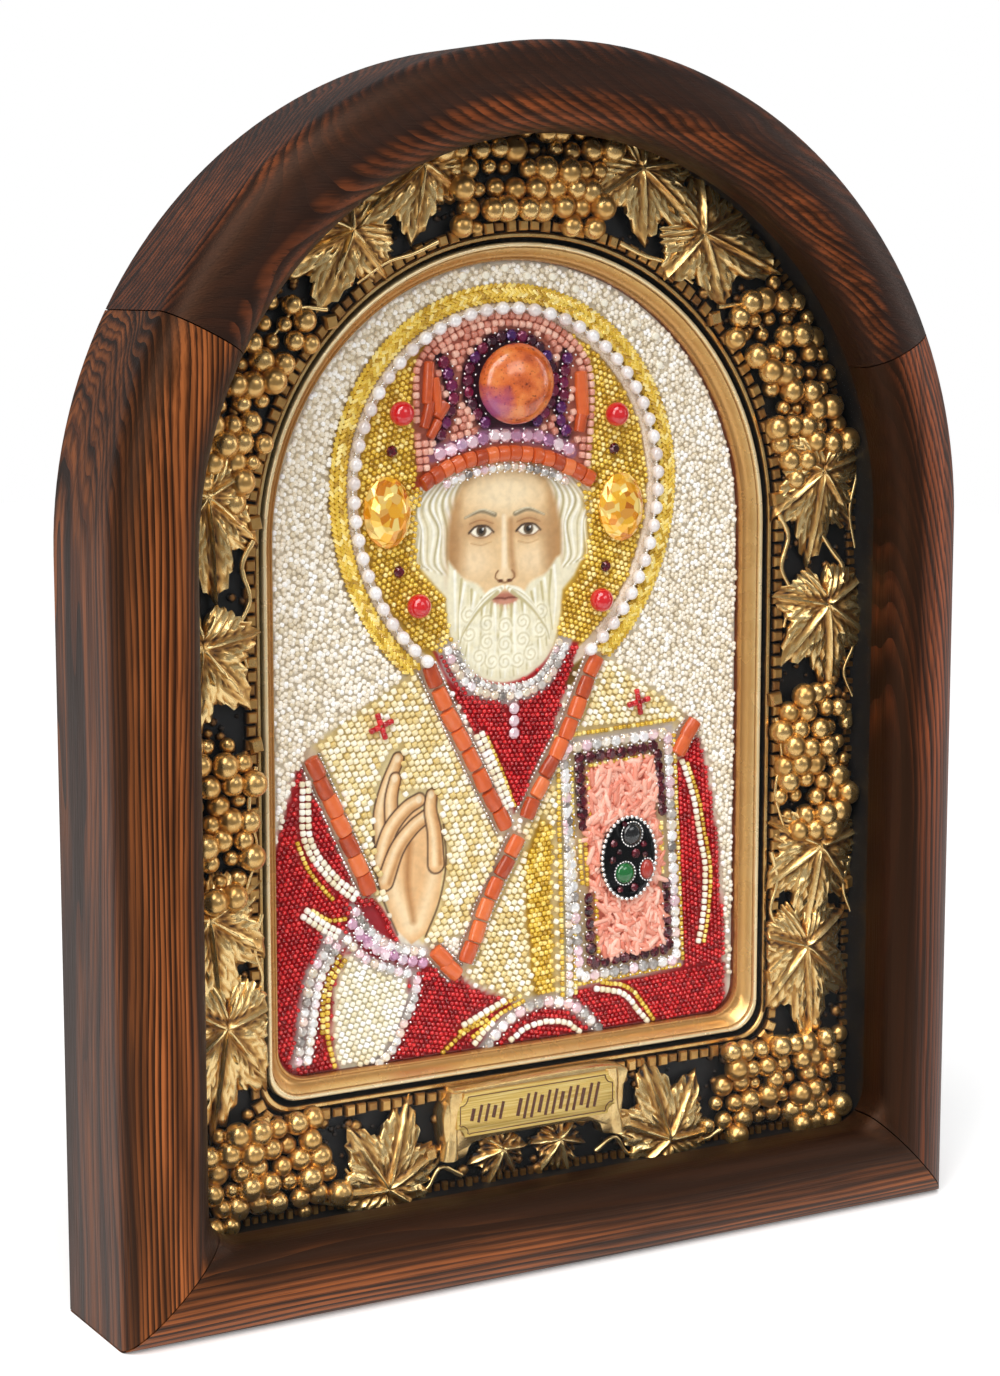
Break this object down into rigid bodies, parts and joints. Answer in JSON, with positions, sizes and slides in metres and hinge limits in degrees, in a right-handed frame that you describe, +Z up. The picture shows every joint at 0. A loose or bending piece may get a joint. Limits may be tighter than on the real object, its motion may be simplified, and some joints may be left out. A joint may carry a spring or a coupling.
{
  "type": "framed beaded icon",
  "caption": "Arched icon in a deep moulded wooden frame with a glass front, a cast vine border, a gilt slip and a picture worked in beads, pearls and stones.",
  "frame": {"origin": "middle of the underside of the bottom rail, at the centre of the overall box", "axes": "+Z up along the height, front facing -Y, +X to the right as seen from the front"},
  "size_m": [0.24, 0.0414, 0.3036],
  "materials": {
    "scorched_pine": "scorched, brushed and satin varnished",
    "hardboard": "plain dark hardboard",
    "window_glass": "clear polished",
    "antique_gold_casting": "antique gold with a navy-black patina in the recesses",
    "brass_plate": "satin",
    "gilt_slip": "satin gilt",
    "printed_canvas": "printed, matt",
    "coral": "polished coral tubes",
    "crystal": "cut crystal",
    "salmon_beads": "opaque seed beads",
    "pink_chips": "polished chips",
    "white_beads": "opaque seed beads",
    "gold_beads": "metallic seed beads",
    "red_beads": "glossy seed beads",
    "cream_beads": "pearl-finished seed beads",
    "ivory_beads": "silver-lined seed beads",
    "felt": "matt",
    "pearl": "pearl",
    "agate": "polished stone",
    "red_coral": "polished stone",
    "garnet": "cut stone",
    "amber_crystal": "cut crystal",
    "oxidised_silver": "oxidised silver"
  },
  "bodies": {
    "root": {"right_stile": "scorched_pine", "left_stile": "scorched_pine", "bottom_rail": "scorched_pine", "arch_head": "scorched_pine", "back_board": "hardboard", "glass_pane": "window_glass", "vine_border": "antique_gold_casting", "name_label": "brass_plate", "inner_slip": "gilt_slip", "icon_panel": "printed_canvas", "omophorion_left": "coral", "omophorion_right": "coral", "omophorion_lower": "coral", "omophorion_end": "coral", "omophorion_left_shoulder": "coral", "omophorion_right_shoulder": "coral", "mitre_band": "coral", "brow_crystals": "crystal", "collar_crystals": "crystal", "book_border": "crystal", "cuff_crystals": "crystal", "hem_crystals": "crystal", "mitre_beads": "salmon_beads", "book_cover": "pink_chips", "sleeve_beads": "white_beads", "gold_band_beads": "gold_beads", "halo_left_beads": "gold_beads", "halo_right_beads": "gold_beads", "halo_rim_beads": "gold_beads", "robe_neck_beads": "red_beads", "robe_left_beads": "red_beads", "skirt_left_beads": "red_beads", "skirt_right_beads": "red_beads", "robe_right_beads": "red_beads", "phelonion_left_beads": "cream_beads", "phelonion_right_beads": "cream_beads", "phelonion_centre_beads": "cream_beads", "background_beads": "ivory_beads", "halo_felt_band": "felt", "pearl_string": "pearl", "mitre_cabochon": "agate", "coral_ball_1": "red_coral", "coral_ball_2": "red_coral", "coral_ball_3": "red_coral", "coral_ball_4": "red_coral", "garnet_1": "garnet", "garnet_2": "garnet", "garnet_3": "garnet", "garnet_4": "garnet", "amber_left": "amber_crystal", "amber_right": "amber_crystal", "book_brooch": "oxidised_silver"}
  },
  "joints": []
}
